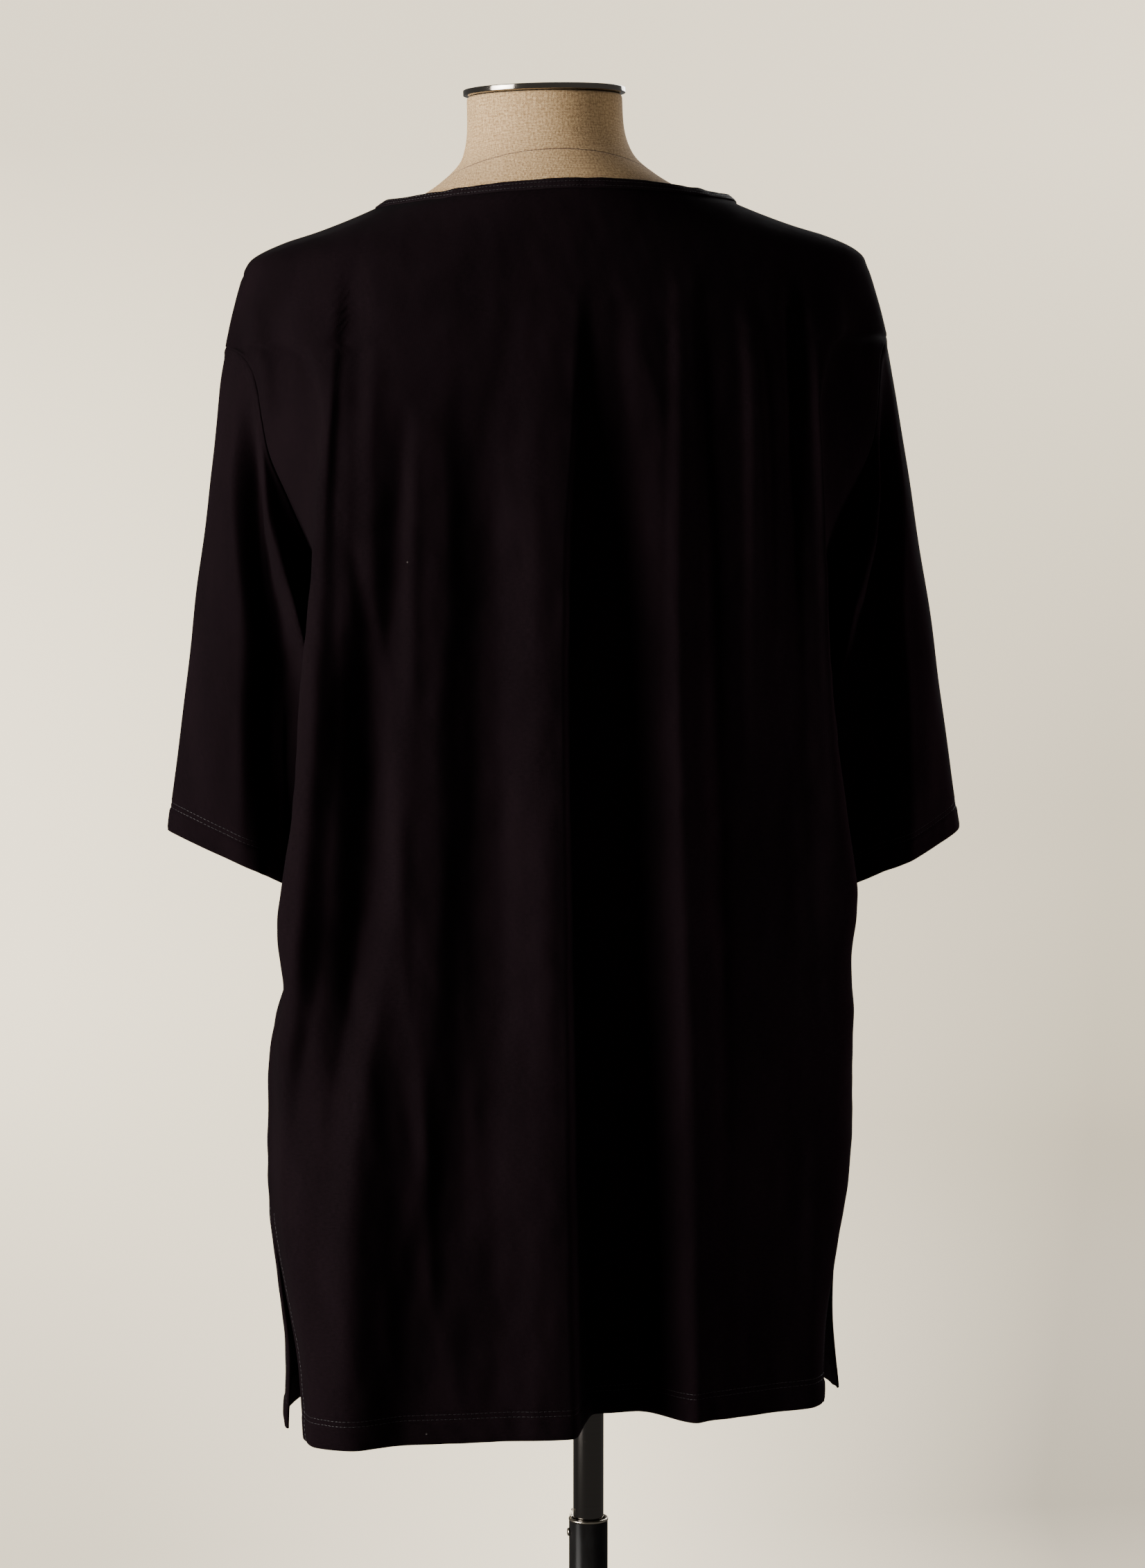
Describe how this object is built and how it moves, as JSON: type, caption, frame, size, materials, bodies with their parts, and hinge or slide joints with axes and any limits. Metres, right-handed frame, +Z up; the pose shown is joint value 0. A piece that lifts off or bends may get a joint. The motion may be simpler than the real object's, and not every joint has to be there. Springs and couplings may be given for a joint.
{
  "type": "jersey tunic top on a limbless dress form with a stand",
  "caption": "Elbow-sleeved jersey tunic top with dropped shoulders, a bound wide neck and side slits, worn by a limbless linen dress form on a telescopic floor stand.",
  "frame": {"origin": "centre of the base plate's underside, on the axis of the stand", "axes": "+Z up along the stand; the front of the tunic and form faces -Y, the back +Y, the wearer's left is +X"},
  "size_m": [0.5703, 0.38, 1.4938],
  "materials": {
    "jersey": "matte fine single jersey, black",
    "linen": "beige woven linen over a padded shell",
    "bare_steel": "bare polished steel",
    "dark_steel": "dark blued steel",
    "black_paint": "satin black paint"
  },
  "bodies": {
    "stand": {"base_plate": "black_paint", "pole_lower": "black_paint", "pole_rim": "bare_steel", "height_button": "bare_steel", "spring_clip": "bare_steel"},
    "form": {"pole_upper": "dark_steel", "form_socket": "dark_steel", "form_torso": "linen", "form_neck_cap": "bare_steel", "back_panel": "jersey", "front_panel": "jersey", "sleeve_left": "jersey", "sleeve_right": "jersey", "neck_binding": "jersey"}
  },
  "joints": [
    {"name": "height_adjust", "type": "slide", "parent": "stand", "child": "form", "axis": [0, 0, 1], "range_m": [-0.18, 0.15]}
  ]
}
